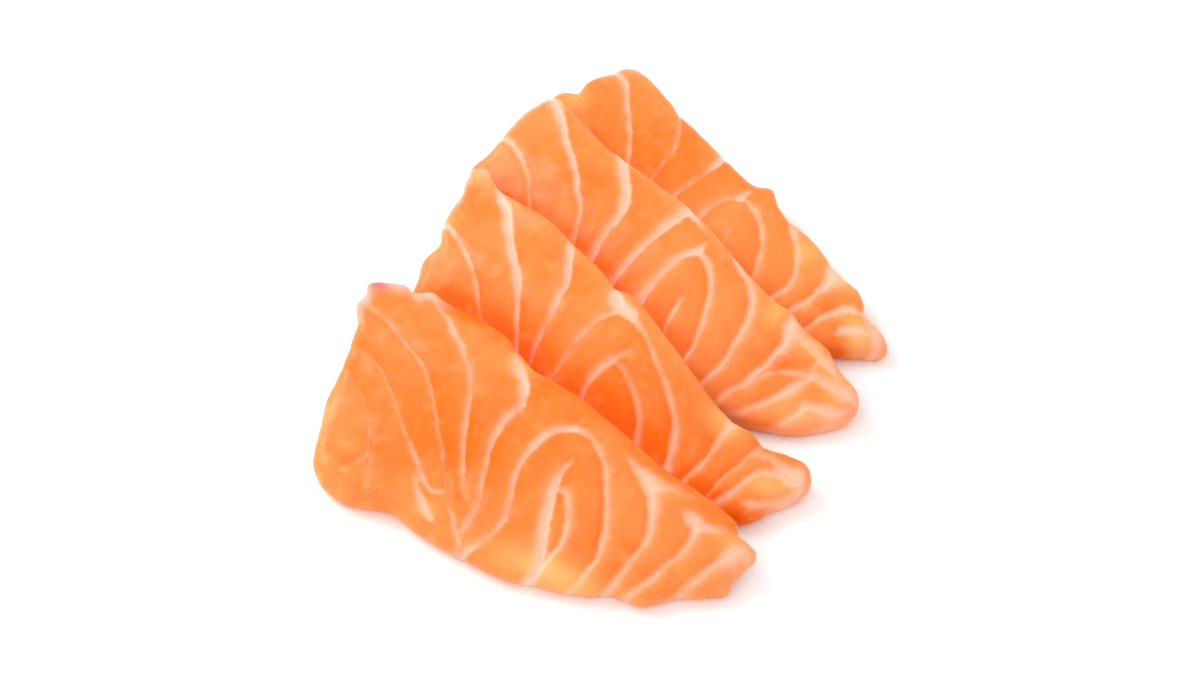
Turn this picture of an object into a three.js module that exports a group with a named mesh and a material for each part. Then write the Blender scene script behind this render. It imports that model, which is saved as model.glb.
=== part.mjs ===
// Salmon sashimi: four raw slices, cut one after the other from the same fillet
// and laid out as a shingled fan. Every slice stands on its front edge and leans
// back over the slice behind it. The back slice has nothing to lean on and lies flat.
// Millimetres, +Z up. X runs along the slices to their narrow ends, Y runs from the
// front slice to the back slice, and the origin is on the table under the fan's middle.

import * as THREE from "three";
import { mergeVertices } from "three/addons/utils/BufferGeometryUtils.js";

// Thickness of a slice, which thins out to both ends and to its front edge
const THICKNESS_MIDDLE = 6.2;
const THICKNESS_BROAD_END = 5.4;
const THICKNESS_TIP = 4.3;
const TIP_THINS_FROM = 8;
const TIP_THINS_OVER = 32;
const BROAD_END_THINS_FROM = -14;
const BROAD_END_THINS_OVER = 24;
const FRONT_EDGE_SHARE = 0.72;
const FRONT_THINS_OVER = 8;

// Rounding of the cut edge: how far it reaches in, and how square it stays
const RIM_DEPTH = 2.6;
const RIM_SQUARENESS = 2.6;

// How a slice climbs over the one behind it
const AIR_GAP = 0.4;
const CLIMB_BEFORE_EDGE = 14;
const CLIMB_BEHIND_EDGE = 3.3;
const CLIMB_ROUNDING = 0.3;
const DROOP_PAST_END = 13;
const BROAD_END_AT = -39;
const TIP_AT = 41;

// The front edge, seen from above, is straight and then curves back to the tip
const FRONT_CURVES_FROM = 6;
const FRONT_CURVES_OVER = 34;
const FRONT_SET_BACK = 11.5;

// The middle line that every slice is built out from, in a slice's own length and width
const MIDDLE_AT_TIP = [27, 12.5];
const MIDDLE_AT_BROAD_END = [-20, 17];

// Grooves where the fat lines part the flakes
const GROOVE_DEPTH = 0.45;
const GROOVE_WIDTH = 1.3;

// Facets
const STEPS_AROUND = 96;
const STEPS_ON_TOP = 6;
const STEPS_ROUND_RIM = 5;
const STEPS_BELOW = 6;
const CURVE_STEPS = 24;

const FLESH_COLOUR = "#f78f4f";

// The front edge that all the slices share, from the broad end to the tip
const FRONT_EDGE = [
  [-26, 1], [-22, 0.3], [-15, 1.8], [-9.5, 0.4], [-3, -0.5], [6, -0.8], [16.5, 1.5], [21.4, 3.7],
];

// Every slice: where its own zero lies, how it is turned, the outline from the middle of
// the tip along the back edge to the middle of the broad end, and the points that join
// the broad end and the tip to the shared front edge
const SLICES = [
  {
    name: "slice_front", x: 9.5, y: -41, turn: 13,
    back: [
      [38.2, 18], [36.9, 18.6], [34.7, 19.1], [33.4, 20.5], [29, 21.5], [22, 22.2], [17.3, 23.3],
      [11, 25.3], [4.3, 27.4], [-2, 28.6], [-4.5, 29], [-8.2, 30.9], [-12.7, 32.9], [-22.7, 34.7],
      [-26.5, 35.8], [-29.4, 35], [-31.5, 35.6], [-35.4, 35], [-36.9, 33.7], [-36.3, 31.7],
      [-36.5, 29.3], [-34.6, 26.4], [-34, 23], [-33.6, 18],
    ],
    broadEnd: [[-33.2, 13.3], [-31, 7.7], [-29.5, 3.8]],
    tip: [[25.8, 4.1], [30.5, 7.8], [34.6, 10.5], [36.5, 11.7], [36.4, 13.8], [37.3, 15.7]],
  },
  {
    name: "slice_second", x: 3.8, y: -21.5, turn: 4,
    back: [
      [38.2, 20], [37.3, 21.4], [35.6, 22.2], [33.3, 21.7], [30.5, 20.8], [26.3, 20.9],
      [22.5, 20.7], [18.8, 21.3], [14, 23], [5.4, 26.5], [-0.5, 28.7], [-4.8, 29.1], [-7.6, 30.1],
      [-13.7, 31.7], [-19.4, 33.2], [-24, 34], [-30.9, 34.8], [-34.1, 35.9], [-36.2, 37],
      [-38.6, 36.4], [-38.4, 33.9], [-37.2, 31.2], [-36.7, 27.5], [-35.6, 24], [-33.7, 20.9],
    ],
    broadEnd: [[-34.7, 17.8], [-33.6, 14.7], [-31, 5]],
    tip: [[27, 5.8], [33, 9], [35.3, 13], [37.6, 17.2]],
  },
  {
    name: "slice_third", x: -2.8, y: -2, turn: 2,
    back: [
      [41, 18], [40.3, 19.4], [38.9, 20.3], [35.4, 21.3], [32.3, 22.4], [28.3, 22.6], [24, 23.7],
      [21.4, 23.5], [17.1, 24.3], [10.7, 26.3], [2.9, 29.2], [-2, 30.4], [-7.7, 31],
      [-12.9, 31.8], [-16.1, 32.3], [-19.5, 32.6], [-27.4, 35.5], [-31.2, 36.8], [-34.8, 37.8],
      [-36.1, 34], [-36.5, 30], [-36.1, 25.1], [-36.2, 21.4],
    ],
    broadEnd: [[-37.3, 18.3], [-35.5, 14], [-32, 5]],
    tip: [[28.6, 6.1], [33, 8], [36.4, 10.3], [39.3, 13.9], [40.6, 16]],
  },
  {
    name: "slice_back", x: -5.6, y: 18.2, turn: -4,
    back: [
      [38.3, 15.4], [36.2, 16.8], [33.5, 17.5], [30.9, 18.3], [29.8, 19.5], [27.5, 20.8],
      [24, 21.2], [18.2, 22.8], [14.2, 23.6], [9.2, 24.3], [6.5, 25.3], [4.3, 26.9], [3, 27.2],
      [0.8, 26], [-2.7, 26.1], [-8.7, 27.5], [-19.5, 29.5], [-22.8, 30.8], [-29.1, 32.5],
      [-33.1, 32.8], [-35, 31.4], [-36.4, 28.4], [-37.3, 25], [-37, 21.5],
    ],
    broadEnd: [[-39, 18.5], [-37.2, 11], [-33, 4]],
    tip: [[27, 5.8], [32.2, 9], [35.5, 11.9], [37.8, 13.8]],
  },
];

// The fat lines, as they run on every slice: bowed lines at the broad end, then an arch
// with an eye inside it, then lines that follow the tip
const FAT_LINES = [
  [[-33, 22], [-26, 20], [-17, 11], [-9, 5]],
  [[-34, 28], [-24, 24], [-15, 16], [-7, 6]],
  [[-28, 34], [-20, 30], [-12, 22], [-9, 13], [-6, 8]],
  [[-8, 28], [-4, 24], [-4, 15], [-2, 5]],
  [[1, 1], [2, 8], [2, 17], [7, 22], [13, 18], [17, 10], [17, 3]],
  [[7, 14], [9, 7], [11, 2]],
  [[20, 19], [23, 13], [21, 4]],
  [[28, 18], [28, 12], [25, 6]],
  [[36, 17], [32, 12], [30, 7]],
];

// From 0 to 1 with a straight middle and rounded ends
function easeRamp(x) {
  const e = CLIMB_ROUNDING;
  const curvature = 1 / (2 * e * (1 - e));
  if (x <= 0) return 0;
  if (x < e) return x * x * curvature;
  if (x < 1 - e) return (x - e / 2) / (1 - e);
  if (x < 1) return 1 - (1 - x) * (1 - x) * curvature;
  return 1;
}

// The front edge's set-back at a place along the slice
function frontLine(u) {
  const x = THREE.MathUtils.clamp((u - FRONT_CURVES_FROM) / FRONT_CURVES_OVER, 0, 1);
  return FRONT_SET_BACK * x * x;
}

function thicknessAlong(u) {
  const tip = easeRamp((u - TIP_THINS_FROM) / TIP_THINS_OVER);
  const broadEnd = easeRamp((BROAD_END_THINS_FROM - u) / BROAD_END_THINS_OVER);
  return (
    THICKNESS_MIDDLE +
    (THICKNESS_TIP - THICKNESS_MIDDLE) * tip +
    (THICKNESS_BROAD_END - THICKNESS_MIDDLE) * broadEnd
  );
}

function thickness(u, v) {
  const behindEdge = easeRamp((v - frontLine(u)) / FRONT_THINS_OVER);
  return thicknessAlong(u) * (FRONT_EDGE_SHARE + (1 - FRONT_EDGE_SHARE) * behindEdge);
}

// Between a slice's own length and width, and the table's X and Y
function toTable(slice, u, v) {
  const turn = THREE.MathUtils.degToRad(slice.turn);
  return [
    slice.x + u * Math.cos(turn) - v * Math.sin(turn),
    slice.y + u * Math.sin(turn) + v * Math.cos(turn),
  ];
}

function toSlice(slice, x, y) {
  const turn = THREE.MathUtils.degToRad(slice.turn);
  const dx = x - slice.x;
  const dy = y - slice.y;
  return [
    dx * Math.cos(turn) + dy * Math.sin(turn),
    dy * Math.cos(turn) - dx * Math.sin(turn),
  ];
}

// How far a slice lifts whatever is laid over it at a place on the table
function lift(slice, x, y) {
  const [u, v] = toSlice(slice, x, y);
  const across = (v - frontLine(u) + CLIMB_BEFORE_EDGE) / (CLIMB_BEFORE_EDGE + CLIMB_BEHIND_EDGE);
  const pastBroadEnd = (u - BROAD_END_AT + DROOP_PAST_END) / DROOP_PAST_END;
  const pastTip = (TIP_AT + DROOP_PAST_END - u) / DROOP_PAST_END;
  return (thicknessAlong(u) + AIR_GAP) * easeRamp(across) * easeRamp(pastBroadEnd) * easeRamp(pastTip);
}

// Height of a slice's underside: the sum of what all the slices behind it lift
function underside(index, x, y) {
  let height = 0;
  for (const slice of SLICES.slice(index + 1)) height += lift(slice, x, y);
  return height;
}

// Points at even distances along a line of many short steps, without its last point
function spaceEvenly(line, count) {
  const lengths = [0];
  for (let i = 1; i < line.length; i += 1) {
    lengths.push(lengths[i - 1] + line[i].distanceTo(line[i - 1]));
  }
  const total = lengths[lengths.length - 1];
  const points = [];
  let step = 1;
  for (let i = 0; i < count; i += 1) {
    const target = (total * i) / count;
    while (lengths[step] < target) step += 1;
    const share = (target - lengths[step - 1]) / (lengths[step] - lengths[step - 1]);
    points.push(line[step - 1].clone().lerp(line[step], share));
  }
  return points;
}

// The outline from above: half the points on the back edge, half on the front edge
function outlineOf(slice) {
  const ends = [...slice.back, ...slice.broadEnd, ...FRONT_EDGE, ...slice.tip];
  const knots = ends.map(([u, v]) => new THREE.Vector3(u, v, 0));
  const curve = new THREE.CatmullRomCurve3(knots, true, "catmullrom", 0.5);
  const fine = [];
  const total = knots.length * CURVE_STEPS;
  for (let i = 0; i <= total; i += 1) fine.push(curve.getPoint(i / total));
  const split = (slice.back.length - 1) * CURVE_STEPS;
  const half = STEPS_AROUND / 2;
  return [...spaceEvenly(fine.slice(0, split + 1), half), ...spaceEvenly(fine.slice(split), half)];
}

// A place on the middle line, the same for the two outline points that face each other
function middleAt(step) {
  const half = STEPS_AROUND / 2;
  const along = Math.min(step, STEPS_AROUND - step) / half;
  const share = (1 - Math.cos(Math.PI * along)) / 2;
  return new THREE.Vector3(
    THREE.MathUtils.lerp(MIDDLE_AT_TIP[0], MIDDLE_AT_BROAD_END[0], share),
    THREE.MathUtils.lerp(MIDDLE_AT_TIP[1], MIDDLE_AT_BROAD_END[1], share),
    0,
  );
}

function distanceToLine(u, v, line) {
  let nearest = Infinity;
  for (let i = 1; i < line.length; i += 1) {
    const [u0, v0] = line[i - 1];
    const du = line[i][0] - u0;
    const dv = line[i][1] - v0;
    const share = ((u - u0) * du + (v - v0) * dv) / (du * du + dv * dv);
    const t = THREE.MathUtils.clamp(share, 0, 1);
    nearest = Math.min(nearest, Math.hypot(u - u0 - t * du, v - v0 - t * dv));
  }
  return nearest;
}

function grooveAt(u, v) {
  const distance = Math.min(...FAT_LINES.map((line) => distanceToLine(u, v, line)));
  return GROOVE_DEPTH * Math.exp(-((distance / GROOVE_WIDTH) ** 2));
}

// The rows of a slice's skin: over the top face, round the rim and back along the
// underside. Each row says how far it is from the rim and its height in the thickness
function skinRows() {
  const rows = [];
  for (let i = 0; i < STEPS_ON_TOP; i += 1) rows.push({ face: i / STEPS_ON_TOP, height: 1 });
  for (let i = 0; i <= STEPS_ROUND_RIM; i += 1) {
    const angle = (Math.PI * i) / STEPS_ROUND_RIM;
    const power = 2 / RIM_SQUARENESS;
    const side = Math.abs(Math.sin(angle)) ** power;
    const up = Math.sign(Math.cos(angle)) * Math.abs(Math.cos(angle)) ** power;
    rows.push({ inset: RIM_DEPTH * (1 - side), height: (1 + up) / 2 });
  }
  for (let i = STEPS_BELOW - 1; i >= 0; i -= 1) rows.push({ face: i / STEPS_BELOW, height: 0 });
  return rows;
}

function makeSlice(index) {
  const slice = SLICES[index];
  const outline = outlineOf(slice);
  const rows = skinRows();
  const positions = [];
  for (const row of rows) {
    outline.forEach((edge, step) => {
      const middle = middleAt(step);
      const reach = edge.distanceTo(middle);
      const share = "face" in row ? row.face * (1 - RIM_DEPTH / reach) : 1 - row.inset / reach;
      const place = middle.lerp(edge, share);
      const [x, y] = toTable(slice, place.x, place.y);
      const groove = row.height === 1 ? grooveAt(place.x, place.y) : 0;
      const z = underside(index, x, y) + thickness(place.x, place.y) * row.height - groove;
      positions.push(x, y, z);
    });
  }
  const indices = [];
  for (let row = 1; row < rows.length; row += 1) {
    for (let step = 0; step < STEPS_AROUND; step += 1) {
      const next = (step + 1) % STEPS_AROUND;
      const inner = (row - 1) * STEPS_AROUND;
      const outer = row * STEPS_AROUND;
      indices.push(inner + step, outer + step, outer + next);
      indices.push(inner + step, outer + next, inner + next);
    }
  }
  const geometry = new THREE.BufferGeometry();
  geometry.setAttribute("position", new THREE.Float32BufferAttribute(positions, 3));
  geometry.setIndex(indices);
  const closed = mergeVertices(geometry);
  closed.computeVertexNormals();
  const flesh = new THREE.MeshStandardMaterial({ color: FLESH_COLOUR, roughness: 0.35, metalness: 0 });
  const mesh = new THREE.Mesh(closed, flesh);
  mesh.name = slice.name;
  return mesh;
}

const fan = new THREE.Group();
SLICES.forEach((slice, index) => fan.add(makeSlice(index)));

// The fan's box is centred over the origin
const centre = new THREE.Box3().setFromObject(fan).getCenter(new THREE.Vector3());
fan.position.set(-centre.x, -centre.y, 0);

const sashimi = new THREE.Group();
sashimi.add(fan);

export default sashimi;
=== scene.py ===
"""Salmon sashimi: four raw slices laid out as a shingled fan.

Every slice is one closed skin over its node of the frame. Its fat lines, the flakes
between them and its ragged edge are relief in the skin, and the wet flesh is a material.
"""

import bpy
import numpy as np
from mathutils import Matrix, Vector


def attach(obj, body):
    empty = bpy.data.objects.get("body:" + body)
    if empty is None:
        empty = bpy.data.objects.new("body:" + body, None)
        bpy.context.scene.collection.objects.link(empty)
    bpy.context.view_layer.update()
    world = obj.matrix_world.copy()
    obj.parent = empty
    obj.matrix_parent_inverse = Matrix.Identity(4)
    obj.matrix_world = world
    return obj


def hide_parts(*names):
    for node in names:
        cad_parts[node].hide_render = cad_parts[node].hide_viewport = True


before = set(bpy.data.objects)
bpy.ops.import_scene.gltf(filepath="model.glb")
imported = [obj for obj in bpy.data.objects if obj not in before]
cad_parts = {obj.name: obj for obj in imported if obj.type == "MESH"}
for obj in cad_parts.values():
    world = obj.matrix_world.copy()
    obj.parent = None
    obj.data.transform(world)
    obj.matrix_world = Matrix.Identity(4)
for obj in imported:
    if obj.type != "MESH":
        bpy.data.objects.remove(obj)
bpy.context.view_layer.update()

bl_info = {
    "name": "Salmon sashimi",
    "version": (1, 0, 0),
    "blender": (4, 5, 0),
    "location": "3D View > Sidebar > Sashimi",
    "description": "Adds four slices of raw salmon in a shingled fan",
    "category": "Add Mesh",
}

MM = 0.001


def linear(hex_colour):
    """The linear value of an sRGB hex colour, with alpha 1."""
    srgb = np.array([int(hex_colour[i:i + 2], 16) for i in (1, 3, 5)]) / 255
    channels = np.where(srgb <= 0.04045, srgb / 12.92, ((srgb + 0.055) / 1.055) ** 2.4)
    return (*channels.tolist(), 1.0)


# The front edge that all the slices share, from the broad end to the tip, in millimetres
# of a slice's own length and width
FRONT_EDGE = [
    (-26, 1), (-22, 0.3), (-15, 1.8), (-9.5, 0.4), (-3, -0.5), (6, -0.8), (16.5, 1.5),
    (21.4, 3.7),
]

# The middle line that every slice is built out from
MIDDLE_AT_TIP = (27, 12.5)
MIDDLE_AT_BROAD_END = (-20, 17)

# Every slice, in millimetres and degrees. First come its place on the table, its turn, and
# how far along it the eye lies that its flakes run round; how strongly and how far painted
# shade deepens it toward the slice before it, where there is one; where along it its rind
# ends and how far in from the edge that lies; and how much paler a painted highlight makes it
# along its back edge. Then come ovals of deeper flesh, or paler where negative, partly the
# flesh's own tone and partly painted shade, milky ovals, and ovals of painted shade on the
# side wall only, each with its middle, half length, half width and strength. Last come the
# outline from the middle of the tip along the back edge to the middle of the broad end, the
# points that join broad end and tip to the shared front edge, and the fat lines, each a run
# of points with their place along, their place across and the line's width there
SLICES = [
    {
        "node": "slice_front", "x": 9.5, "y": -41, "turn": 13, "eye": 9.6,
        "rind_end": -20, "rind_inset": 1.5, "back_edge_highlight": 0,
        "tones": [(-12, 14, 18, 9, 0.8), (20, 16, 9, 5, -0.5), (-31, 8, 6, 7, -0.8),
                  (20, 1, 14, 3, -0.4), (-12, 28, 5, 4, -0.4), (1, 24, 6, 2.5, 0.3)],
        "veils": [(35.5, 17, 3, 1.6, 0.6), (-6, 28, 3, 1.5, 0.4), (14, 1.5, 10, 2.4, 0.8),
                  (22, 19, 4, 1, 0.3), (-9.5, 3.2, 2.2, 1.2, 0.4), (9.8, 8.5, 1.6, 6, 0.2),
                  (-24, 3.8, 0.8, 0.4, 0.5), (-27.5, 4.3, 1.2, 0.9, 0.4),
                  (-26, 7.5, 1.2, 0.6, 0.3), (-31.5, 13, 1, 2, 0.3), (30, 13, 7, 5, 0.16)],
        "wall_shades": [],
        "back": [
            (38.2, 18), (36.9, 18.6), (34.7, 19.1), (33.4, 20.5), (29, 21.5), (22, 22.2),
            (17.3, 23.3), (11, 25.3), (4.3, 27.4), (-2, 28.6), (-4.5, 29), (-8.2, 30.9),
            (-12.7, 32.9), (-22.7, 34.7), (-26.5, 35.8), (-29.4, 35), (-31.5, 35.6), (-35.4, 35),
            (-36.9, 33.7), (-36.3, 31.7), (-36.5, 29.3), (-34.6, 26.4), (-34, 23), (-33.6, 18),
        ],
        "broad_end": [(-33.2, 13.3), (-31, 7.7), (-29.5, 3.8)],
        "tip": [(25.8, 4.1), (30.5, 7.8), (34.6, 10.5), (36.5, 11.7), (36.4, 13.8), (37.3, 15.7)],
        "fat_lines": [
            [(-33, 19.5, 0.3), (-29.5, 17.2, 0.3), (-26.5, 14.8, 0.4), (-24.3, 12, 0.6),
             (-22.8, 9.8, 0.6), (-21.9, 7.3, 0.6), (-20.9, 5, 0.4), (-19.9, 2.6, 0.3)],
            [(-21.9, 7.3, 0.7), (-22.6, 5.8, 0.5), (-24, 5, 0.3)],
            [(-33, 22.5, 0.3), (-27.5, 20.6, 0.5), (-23.5, 17.7, 0.5), (-20.3, 14.8, 0.5),
             (-17.8, 12.4, 0.7), (-15.2, 10.2, 0.9), (-13.2, 8.4, 0.8), (-11.6, 6.9, 0.8),
             (-10, 5.7, 0.8), (-8.3, 6.2, 0.7)],
            [(-14.2, 9.2, 0.4), (-12.8, 6.6, 0.7), (-11.6, 4.9, 1.0), (-9.9, 3.4, 1.3),
             (-7.9, 1.9, 1.0)],
            [(-35.7, 29.7, 0.6), (-30.7, 27.9, 0.6), (-23.4, 24, 0.6), (-18.7, 21, 0.6),
             (-14, 15.4, 0.6), (-10.7, 11.2, 0.6), (-6.9, 5.4, 0.5), (-4.7, 3.4, 0.8),
             (-3, 1.4, 0.8), (-1, -1, 0.6)],
            [(-27.7, 35.1, 0.6), (-23.2, 32.8, 0.8), (-19.4, 30.1, 1.1), (-15.4, 26.4, 0.8),
             (-12, 22.6, 0.8), (-10.4, 18.6, 0.8), (-8.7, 13.9, 0.8), (-6.2, 9.1, 0.7),
             (-4.7, 6.6, 0.3)],
            [(-8.6, 31.2, 1.1), (-6.3, 27.6, 1.8), (-3.9, 25, 1.6), (-2.9, 21.8, 1.2),
             (-4.1, 18.5, 1.1), (-4.5, 15, 1.0), (-3.7, 11, 0.9), (-2.3, 6.5, 0.9),
             (-2.6, 3, 0.9), (-3.3, 1.5, 0.3)],
            [(-1, -2, 0.9), (-0.3, -0.5, 1.3), (0.9, 1.8, 1.0), (2.2, 4.5, 0.9), (2.4, 7, 0.9),
             (1.7, 10, 0.9), (1, 13.2, 1.0), (1.7, 16.5, 1.1), (3.7, 19.8, 1.2), (6.2, 21.4, 1.3)],
            [(6.2, 21.4, 1.1), (8.7, 21, 1.0), (11.7, 19.2, 0.9), (14.3, 15.8, 0.9),
             (16.3, 11.8, 1.0), (17.5, 7.5, 1.1), (17, 3.8, 1.0), (16.3, 0, 1.2)],
            [(6.2, 21.4, 0.6), (6.4, 23.2, 0.4)],
            [(8.2, 16.8, 0.6), (7.5, 14.2, 1.4), (7.9, 10.5, 1.8), (9, 6.8, 1.7), (10, 3.5, 1.7),
             (10.8, -1, 1.8)],
            [(7.2, 12.4, 0.9), (8.8, 12.6, 1.0), (10.4, 11, 1.0), (11.4, 8.2, 1.1),
             (11.6, 5.5, 1.1), (10.9, 2.6, 1.0), (10.4, 0, 1.1)],
            [(15.7, 20.4, 0.7), (18, 19.3, 1.5), (20.4, 18.2, 2.1), (22.3, 15, 1.3),
             (23, 12, 1.1), (22.4, 9, 1.1), (21.7, 6, 1.1), (20.7, 1.5, 1.3)],
            [(20.5, 18.7, 1.7), (24.3, 19.7, 1.2), (27.8, 20.3, 0.5)],
            [(26.3, 17.4, 0.8), (28.4, 16.9, 2.0), (28.9, 15, 1.2), (28.1, 12.3, 1.0),
             (26.8, 9.7, 1.0), (25.5, 6.7, 1.1), (23.4, 2.5, 1.2)],
            [(29.4, 16.8, 1.4), (31.6, 17.6, 1.2), (33.8, 18.8, 0.6)],
            [(37.5, 17, 1.3), (35.5, 16.2, 2.2), (33.7, 14.2, 1.5), (32.3, 11.6, 1.2),
             (31.3, 9.2, 1.2), (30, 6.7, 1.2), (28.3, 4, 1.0)],
        ],
    },
    {
        "node": "slice_second", "x": 3.8, "y": -21.5, "turn": 4, "eye": 6.5,
        "crease": 2.8, "crease_reach": 2.0, "rind_end": -26, "rind_inset": 0, "back_edge_highlight": 0.35,
        "tones": [(0, 10, 25, 8, 0.85), (3, 22, 6, 4, -0.4), (32, 16, 6, 6, -0.5),
                  (-14, 31, 8, 4, -0.3), (-33, 16, 5, 5, -0.5), (-12, 9, 8, 4, 0.4)],
        "veils": [(36.5, 19, 2, 2.8, 0.45), (-36.5, 35.5, 3, 2, 0.4), (-35.5, 24, 2, 3.5, 0.3),
                  (23, 19, 3, 1.6, 0.6), (33.3, 15.6, 3.4, 2.6, 0.5)],
        "wall_shades": [(32, 9.5, 6, 4, 2.0)],
        "back": [
            (38.2, 20), (37.3, 21.4), (35.6, 22.2), (33.3, 21.7), (30.5, 20.8), (26.3, 20.9),
            (22.5, 20.7), (18.8, 21.3), (14, 23), (5.4, 26.5), (-0.5, 28.7), (-4.8, 29.1),
            (-7.6, 30.1), (-13.7, 31.7), (-19.4, 33.2), (-24, 34), (-30.9, 34.8), (-34.1, 35.9),
            (-36.2, 37), (-38.6, 36.4), (-38.4, 33.9), (-37.2, 31.2), (-36.7, 27.5), (-35.6, 24),
            (-33.7, 20.9),
        ],
        "broad_end": [(-34.7, 17.8), (-33.6, 14.7), (-31, 5)],
        "tip": [(27, 5.8), (33, 9), (35.3, 13), (37.6, 17.2)],
        "fat_lines": [
            [(-35.5, 24.5, 1.2), (-31, 22.6, 1.0), (-26.3, 19.8, 0.8), (-22.3, 16.5, 0.7),
             (-18, 12, 0.5), (-12, 5, 0.3)],
            [(-33.2, 35.7, 1.1), (-30.2, 33.2, 1.7), (-27.7, 31.4, 1.9), (-24.7, 27.9, 1.6),
             (-21.4, 24.5, 1.5), (-18, 21.4, 1.3), (-15.4, 18, 1.0), (-13.2, 14.7, 0.8),
             (-8.7, 8.2, 0.5)],
            [(-15.5, 32.3, 0.9), (-13.5, 29.3, 1.5), (-12.2, 27, 1.3), (-10.7, 24.3, 1.2),
             (-10, 21, 1.1), (-9.3, 17, 0.8), (-8.6, 12.5, 0.7), (-6, 6, 0.5)],
            [(-4, 8, 0.6), (-3.9, 12, 0.7), (-3.7, 15.2, 0.7), (-3.3, 18.5, 0.8),
             (-2.3, 21.8, 0.9), (-0.7, 24.4, 1.3), (2.3, 24.4, 1.3)],
            [(2.4, 24.4, 1.0), (5.8, 22.6, 0.7), (9.8, 19.9, 0.8), (14.4, 17, 0.9),
             (17.1, 14.3, 1.1), (18.6, 11, 1.3), (19.6, 7.5, 1.3), (19.6, 1, 1.1)],
            [(-4.8, 29.2, 0.9), (-1.5, 25.8, 2.6), (1.5, 25.4, 1.8)],
            [(4.3, 19.6, 0.5), (3.5, 17.2, 0.9), (2.3, 15.2, 1.1), (1.9, 12.8, 0.9),
             (2.5, 10, 0.9), (3.6, 6, 0.6)],
            [(3.2, 17.2, 0.6), (5.1, 17, 0.6), (7.6, 15.7, 0.7), (10.8, 13.6, 0.9),
             (12.6, 11, 0.9), (13.8, 8.2, 0.8), (14.3, 5, 0.7)],
            [(23.8, 20.5, 1.6), (23.6, 18, 1.3), (23.5, 15.5, 0.9), (23.4, 12.5, 0.9),
             (22.8, 9, 0.8), (22.2, 2, 0.7)],
            [(29.7, 20.8, 0.6), (28.4, 18, 0.7), (27.8, 15, 0.6), (27.2, 12, 0.5), (26.2, 4, 0.4)],
            [(28.4, 17.6, 0.6), (29.6, 18.7, 0.9), (31.2, 19.2, 1.0), (32.8, 19.2, 1.1),
             (34.5, 19.4, 1.4), (36.1, 19.4, 1.9)],
            [(37, 18.5, 1.8), (35.7, 18, 1.5), (34.3, 18.1, 1.3), (33.1, 17.8, 1.2),
             (31.7, 17.2, 1.1), (30.7, 16, 0.9), (30.1, 14, 1.0), (29.8, 12.4, 1.1),
             (29.3, 10.5, 1.1), (28.5, 8.5, 1.0), (27.5, 5, 0.8)],
            [(37.4, 18.3, 1.6), (37.4, 16.8, 1.5), (36.8, 15.4, 1.3), (35.5, 13.7, 1.1),
             (33.4, 11.9, 1.1), (32, 11, 0.7)],
        ],
    },
    {
        "node": "slice_third", "x": -2.8, "y": -2, "turn": 2, "eye": 8,
        "crease": 0.5, "crease_reach": 0.8, "rind_end": -26, "rind_inset": 0, "back_edge_highlight": 0.4,
        "tones": [(-10, 14, 16, 7, 0.6), (-18, 25, 9, 6, 0.4), (-36, 24, 4, 9, -0.5),
                  (15, 20, 6, 5, -0.4), (20, 12, 7, 6, -0.4), (34, 16, 5, 6, -0.5),
                  (28, 16, 2.5, 3, 0.5)],
        "veils": [(-33, 36.5, 3, 1.2, 0.5), (27, 20, 3, 2, 0.3), (36, 18.5, 4, 2.5, 0.4),
                  (-15, 31.5, 2, 1, 0.4), (34, 11, 4, 3, 0.4), (38, 13.5, 3, 3, 0.35),
                  (22.5, 21, 1.8, 2.6, 0.5), (30.5, 20.5, 3, 1.5, 0.3), (9, 12, 9, 8, 0.12)],
        "wall_shades": [],
        "back": [
            (41, 18), (40.3, 19.4), (38.9, 20.3), (35.4, 21.3), (32.3, 22.4), (28.3, 22.6),
            (24, 23.7), (21.4, 23.5), (17.1, 24.3), (10.7, 26.3), (2.9, 29.2), (-2, 30.4),
            (-7.7, 31), (-12.9, 31.8), (-16.1, 32.3), (-19.5, 32.6), (-27.4, 35.5), (-31.2, 36.8),
            (-34.8, 37.8), (-36.1, 34), (-36.5, 30), (-36.1, 25.1), (-36.2, 21.4),
        ],
        "broad_end": [(-37.3, 18.3), (-35.5, 14), (-32, 5)],
        "tip": [(28.6, 6.1), (33, 8), (36.4, 10.3), (39.3, 13.9), (40.6, 16)],
        "fat_lines": [
            [(-38.8, 25, 0.9), (-32.3, 23.8, 1.0), (-27.1, 20.8, 0.8), (-23.8, 17.3, 0.6),
             (-19.8, 13, 0.5), (-12.8, 6, 0.3)],
            [(-34.7, 36.9, 1.5), (-31.7, 34.7, 2.1), (-28.9, 32.6, 1.8), (-25.7, 29.5, 1.4),
             (-21.2, 25.7, 1.2), (-17.7, 22.2, 1.1), (-14.5, 18.9, 0.9), (-12.7, 14.9, 0.8),
             (-9.2, 8.9, 0.5)],
            [(-15.9, 32, 2.0), (-12.9, 28.8, 1.9), (-10.6, 26.4, 1.7), (-8.9, 24, 1.5),
             (-8.2, 21, 1.4), (-8.4, 17.8, 1.2), (-7.9, 13.5, 1.0), (-6.4, 8, 0.6)],
            [(0, 28.3, 1.3), (3, 27.6, 0.9), (5, 26.6, 0.5)],
            [(0.4, 30.3, 2.2), (-0.3, 26, 1.8), (-0.6, 23, 1.4), (-1.2, 19.8, 1.2),
             (-2.1, 16.5, 1.1), (-2.8, 12.5, 1.2), (-2.8, 7, 0.7)],
            [(6.3, 25, 0.5), (6.6, 22.4, 1.2)],
            [(6.7, 22.4, 1.4), (5.4, 20.8, 1.4), (4.2, 18.3, 1.2), (3.4, 15, 1.2),
             (3.3, 11.5, 1.4), (4, 6, 0.8)],
            [(6.7, 22.4, 1.1), (9, 21.4, 1.1), (11.5, 19.2, 1.0), (13, 16.3, 1.0),
             (14.1, 13, 1.0), (14.8, 9.5, 0.9), (15, 5, 0.6)],
            [(8.7, 15.2, 0.4), (8.8, 12.6, 0.9), (9.1, 10, 0.4)],
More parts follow.
